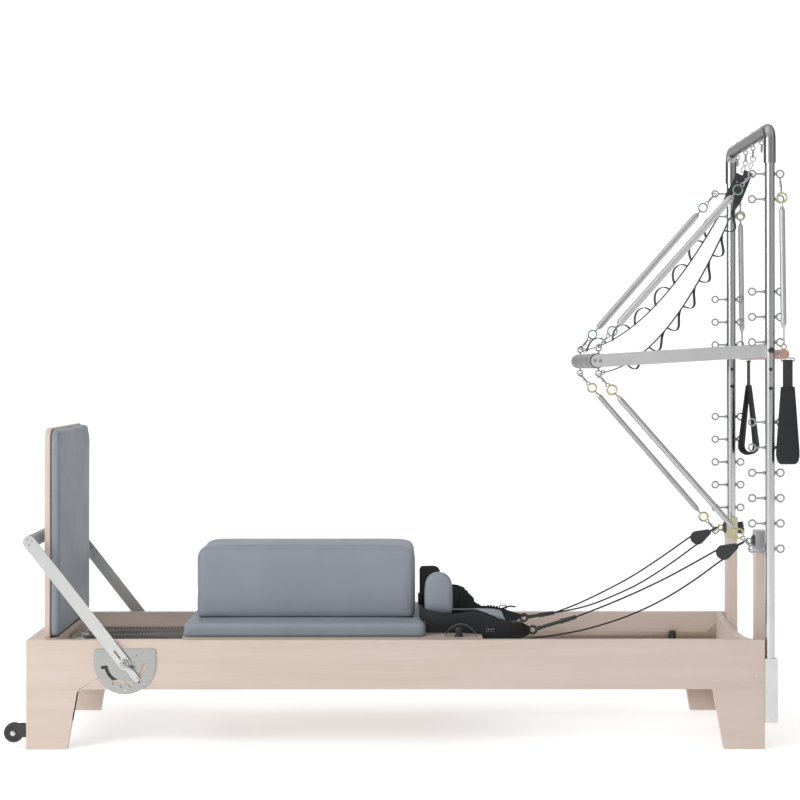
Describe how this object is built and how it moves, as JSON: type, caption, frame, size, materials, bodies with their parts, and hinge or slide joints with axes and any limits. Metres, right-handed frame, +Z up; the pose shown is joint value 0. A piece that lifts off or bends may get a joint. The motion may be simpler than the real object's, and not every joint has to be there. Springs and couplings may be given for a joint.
{
  "type": "pilates reformer",
  "caption": "Wooden pilates reformer with a spring-loaded rolling carriage, footbar, jumpboard, sitting box and a steel tower with sprung bars, straps and pulleys",
  "frame": {"origin": "Middle of the whole object in X and Y, on the floor", "axes": "X runs from the foot end to the tower, Y across the frame to the far side, Z up"},
  "size_m": [2.5932, 0.766, 2.045],
  "materials": {
    "frame_wood": "pale maple with a satin lacquer",
    "dowel_wood": "smooth turned wood",
    "aluminium": "satin extruded aluminium",
    "polished_steel": "polished steel tube and wire",
    "spring_steel": "plain spring wire with plated rings",
    "plated_steel": "plated steel plate and tube",
    "dark_metal": "dark coated metal",
    "black_rubber": "matt rubber",
    "black_plastic": "matt moulded plastic",
    "grey_leather": "soft blue-grey upholstery",
    "black_webbing": "woven webbing and padded fabric",
    "black_rope": "round woven rope"
  },
  "bodies": {
    "frame": {"side_panel_front": "frame_wood", "side_panel_rear": "frame_wood", "foot_end_board": "frame_wood", "foot_deck_board": "frame_wood", "head_end_board": "frame_wood", "tracks": "aluminium", "spring_bar": "plated_steel", "carriage_springs": "spring_steel", "travel_stops": "black_rubber", "risers": "frame_wood", "riser_caps": "plated_steel", "riser_clips": "black_plastic", "footbar_plates": "plated_steel", "bolts_and_screws": "plated_steel", "tower_sockets": "aluminium", "tower_post_front": "polished_steel", "tower_post_rear": "polished_steel", "tower_bow": "polished_steel", "eyebolts_front": "polished_steel", "eyebolts_rear": "polished_steel", "bow_eyebolts": "polished_steel", "wheel_brackets": "black_plastic", "ladder_straps": "black_webbing", "upper_springs": "spring_steel", "lower_springs": "spring_steel", "rope_front": "black_rope", "rope_rear": "black_rope", "pulley_block_front": "black_plastic", "pulley_block_rear": "black_plastic"},
    "rollers": {"transport_wheels": "black_plastic"},
    "sheave_front": {"pulley_sheave_front": "aluminium"},
    "sheave_rear": {"pulley_sheave_rear": "aluminium"},
    "knob_front": {"riser_knob_front": "black_plastic"},
    "knob_rear": {"riser_knob_rear": "black_plastic"},
    "footbar": {"footbar_arms": "plated_steel", "footbar_grip": "grey_leather"},
    "jumpboard": {"jumpboard_panel": "frame_wood", "jumpboard_pad": "grey_leather", "jumpboard_pegs": "plated_steel"},
    "push_bar": {"push_bar_arms": "aluminium", "push_bar_tube": "dark_metal", "push_bar_eyebolts": "polished_steel"},
    "roll_down_bar": {"roll_down_dowel": "dowel_wood", "roll_down_springs": "spring_steel"},
    "hand_strap_front": {"hand_loop_front": "black_webbing"},
    "hand_strap_rear": {"hand_loop_rear": "black_webbing"},
    "carriage": {"carriage_deck": "frame_wood", "carriage_pad": "grey_leather", "carriage_chassis": "dark_metal", "loop_pegs": "black_plastic", "foot_loops": "black_webbing"},
    "wheels_foot": {"carriage_wheels_foot": "black_plastic"},
    "wheels_head": {"carriage_wheels_head": "black_plastic"},
    "rest_front": {"shoulder_rest_front": "grey_leather", "shoulder_base_front": "black_plastic"},
    "rest_rear": {"shoulder_rest_rear": "grey_leather", "shoulder_base_rear": "black_plastic"},
    "head_cushion": {"headrest": "grey_leather"},
    "box": {"sitting_box": "grey_leather"}
  },
  "joints": [
    {"name": "carriage_slide", "type": "slide", "parent": "frame", "child": "carriage", "axis": [1, 0, 0], "range_m": [0, 0.711], "stiffness_N_per_m": 150, "springref_m": -0.2, "deforming": ["carriage_springs", "rope_front", "rope_rear"]},
    {"name": "wheels_foot_spin", "type": "hinge", "parent": "carriage", "child": "wheels_foot", "pos_m": [-0.64359, 0, 0.2843], "axis": [0, 1, 0], "continuous": true},
    {"name": "wheels_head_spin", "type": "hinge", "parent": "carriage", "child": "wheels_head", "pos_m": [0.18341, 0, 0.2843], "axis": [0, 1, 0], "continuous": true},
    {"name": "box_lift", "type": "slide", "parent": "carriage", "child": "box", "axis": [0, 0, 1], "range_m": [0, 0.3]},
    {"name": "headrest_tilt", "type": "hinge", "parent": "carriage", "child": "head_cushion", "pos_m": [0.08741, 0, 0.372], "axis": [0, 1, 0], "range_deg": [-20, 0]},
    {"name": "rest_front_lift", "type": "slide", "parent": "carriage", "child": "rest_front", "axis": [0, 0, 1], "range_m": [0, 0.06]},
    {"name": "rest_rear_lift", "type": "slide", "parent": "carriage", "child": "rest_rear", "axis": [0, 0, 1], "range_m": [0, 0.06]},
    {"name": "footbar_swing", "type": "hinge", "parent": "frame", "child": "footbar", "pos_m": [-0.90159, 0, 0.28], "axis": [0, 1, 0], "range_deg": [-45, 0]},
    {"name": "jumpboard_lift", "type": "slide", "parent": "frame", "child": "jumpboard", "axis": [0, 0, 1], "range_m": [0, 0.3]},
    {"name": "rollers_spin", "type": "hinge", "parent": "frame", "child": "rollers", "pos_m": [-1.26459, 0, 0.054], "axis": [0, 1, 0], "continuous": true},
    {"name": "sheave_front_spin", "type": "hinge", "parent": "frame", "child": "sheave_front", "pos_m": [1.06041, -0.265, 0.63], "axis": [0, 1, 0], "continuous": true},
    {"name": "sheave_rear_spin", "type": "hinge", "parent": "frame", "child": "sheave_rear", "pos_m": [1.06041, 0.265, 0.63], "axis": [0, 1, 0], "continuous": true},
    {"name": "knob_front_turn", "type": "hinge", "parent": "frame", "child": "knob_front", "pos_m": [1.20241, -0.265, 0.668], "axis": [1, 0, 0], "continuous": true},
    {"name": "knob_rear_turn", "type": "hinge", "parent": "frame", "child": "knob_rear", "pos_m": [1.20241, 0.265, 0.668], "axis": [1, 0, 0], "continuous": true},
    {"name": "push_bar_swing", "type": "hinge", "parent": "frame", "child": "push_bar", "pos_m": [1.19691, 0, 1.297], "axis": [0, 1, 0], "range_deg": [-60, 60], "stiffness_Nm_per_rad": 150, "springref_deg": 11.46, "deforming": ["upper_springs", "lower_springs", "ladder_straps"]},
    {"name": "roll_down_swing", "type": "hinge", "parent": "frame", "child": "roll_down_bar", "pos_m": [1.23091, 0, 1.872], "axis": [0, 1, 0], "range_deg": [-45, 0]},
    {"name": "hand_strap_front_swing", "type": "hinge", "parent": "roll_down_bar", "child": "hand_strap_front", "pos_m": [1.25091, -0.368, 1.262], "axis": [1, 0, 0], "range_deg": [-40, 0]},
    {"name": "hand_strap_rear_swing", "type": "hinge", "parent": "roll_down_bar", "child": "hand_strap_rear", "pos_m": [1.25091, 0.29625, 1.262], "axis": [0.309, 0.9511, 0], "range_deg": [-40, 0]}
  ],
  "couplings": [
    {"joint": "wheels_foot_spin", "follows": "carriage_slide", "rad_per_m": 41.667},
    {"joint": "wheels_head_spin", "follows": "carriage_slide", "rad_per_m": 41.667}
  ]
}
